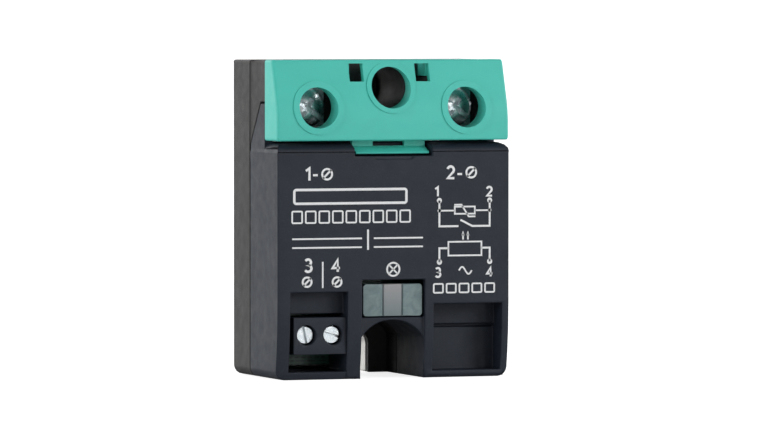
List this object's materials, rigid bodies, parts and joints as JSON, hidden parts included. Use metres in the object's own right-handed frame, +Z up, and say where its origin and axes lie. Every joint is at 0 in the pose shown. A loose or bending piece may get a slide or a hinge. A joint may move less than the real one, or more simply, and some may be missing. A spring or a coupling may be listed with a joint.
{
  "type": "solid state relay",
  "caption": "Panel-mount solid state relay with metal base plate, hinged teal terminal cover, screw terminals, control terminal block and light pipe.",
  "frame": {"origin": "centre of the bounding box in plan, at the bottom edge that the relay stands on", "axes": "+X to the right seen from the front, +Y towards the base plate's mounting face, +Z up towards the power terminals"},
  "size_m": [0.0448, 0.0252, 0.058],
  "materials": {
    "plate_metal": "fine-milled base plate",
    "dark_grey_plastic": "fine spark-eroded matte texture",
    "blue_black_plastic": "fine matte texture",
    "green_plastic": "smooth satin moulding",
    "light_pipe_plastic": "milky clear acrylic",
    "zinc_plated_steel": "bright zinc plating",
    "tinned_copper": "tinned copper strip",
    "white_ceramic": "unglazed alumina",
    "chip_silicon": "passivated silicon",
    "board_laminate": "solder mask over glass laminate",
    "moulded_black": "moulded package",
    "varistor_coating": "dipped epoxy",
    "capacitor_case": "potted film capacitor",
    "resistor_body": "lacquered body",
    "led_body": "water-clear package"
  },
  "bodies": {
    "housing": {"base_plate": "plate_metal", "rear_housing": "dark_grey_plastic", "front_cover": "blue_black_plastic", "light_pipe": "light_pipe_plastic", "control_board": "board_laminate", "status_led": "led_body", "ceramic_substrate": "white_ceramic", "line_thyristor": "chip_silicon", "load_thyristor": "chip_silicon", "line_busbar": "tinned_copper", "load_busbar": "tinned_copper", "line_terminal_nut": "zinc_plated_steel", "load_terminal_nut": "zinc_plated_steel", "line_hinge_pin": "zinc_plated_steel", "load_hinge_pin": "zinc_plated_steel", "control_terminal_block": "blue_black_plastic", "contact_bar_a1": "tinned_copper", "contact_bar_a2": "tinned_copper", "gate_pin_1": "tinned_copper", "gate_pin_2": "tinned_copper", "gate_pin_3": "tinned_copper", "gate_pin_4": "tinned_copper", "optocoupler": "moulded_black", "bridge_rectifier": "moulded_black", "varistor": "varistor_coating", "snubber_capacitor": "capacitor_case", "snubber_resistor": "resistor_body", "input_resistor": "resistor_body"},
    "terminal_lid": {"terminal_cover": "green_plastic"},
    "line_clamp": {"line_clamp_washer": "zinc_plated_steel"},
    "line_screw": {"line_terminal_screw": "zinc_plated_steel"},
    "load_clamp": {"load_clamp_washer": "zinc_plated_steel"},
    "load_screw": {"load_terminal_screw": "zinc_plated_steel"},
    "control_screw_1": {"control_screw_a1": "zinc_plated_steel"},
    "control_screw_2": {"control_screw_a2": "zinc_plated_steel"},
    "cage_1": {"clamp_cage_a1": "zinc_plated_steel"},
    "cage_2": {"clamp_cage_a2": "zinc_plated_steel"}
  },
  "joints": [
    {"name": "lid_hinge", "type": "hinge", "parent": "housing", "child": "terminal_lid", "pos_m": [0, -0.00315, 0.0564], "axis": [-1, 0, 0], "range_deg": [0, 90]},
    {"name": "line_clamp_slide", "type": "slide", "parent": "housing", "child": "line_clamp", "axis": [0, -1, 0], "range_m": [0, 0.0021]},
    {"name": "line_screw_turn", "type": "hinge", "parent": "line_clamp", "child": "line_screw", "pos_m": [-0.0143, -0.00345, 0.0493], "axis": [0, -1, 0], "range_deg": [0, 1080]},
    {"name": "load_clamp_slide", "type": "slide", "parent": "housing", "child": "load_clamp", "axis": [0, -1, 0], "range_m": [0, 0.0021]},
    {"name": "load_screw_turn", "type": "hinge", "parent": "load_clamp", "child": "load_screw", "pos_m": [0.0143, -0.00345, 0.0493], "axis": [0, -1, 0], "range_deg": [0, 1080]},
    {"name": "control_screw_1_turn", "type": "hinge", "parent": "housing", "child": "control_screw_1", "pos_m": [-0.01649, -0.00945, 0.0081], "axis": [0, -1, 0], "range_deg": [-1080, 0]},
    {"name": "cage_1_rise", "type": "slide", "parent": "housing", "child": "cage_1", "axis": [0, -1, 0], "range_m": [0, 0.0015]},
    {"name": "control_screw_2_turn", "type": "hinge", "parent": "housing", "child": "control_screw_2", "pos_m": [-0.01141, -0.00945, 0.0081], "axis": [0, -1, 0], "range_deg": [-1080, 0]},
    {"name": "cage_2_rise", "type": "slide", "parent": "housing", "child": "cage_2", "axis": [0, -1, 0], "range_m": [0, 0.0015]}
  ],
  "couplings": [
    {"joint": "line_screw_turn", "follows": "line_clamp_slide", "rad_per_m": 8976},
    {"joint": "load_screw_turn", "follows": "load_clamp_slide", "rad_per_m": 8976},
    {"joint": "control_screw_1_turn", "follows": "cage_1_rise", "rad_per_m": -12566},
    {"joint": "control_screw_2_turn", "follows": "cage_2_rise", "rad_per_m": -12566}
  ]
}
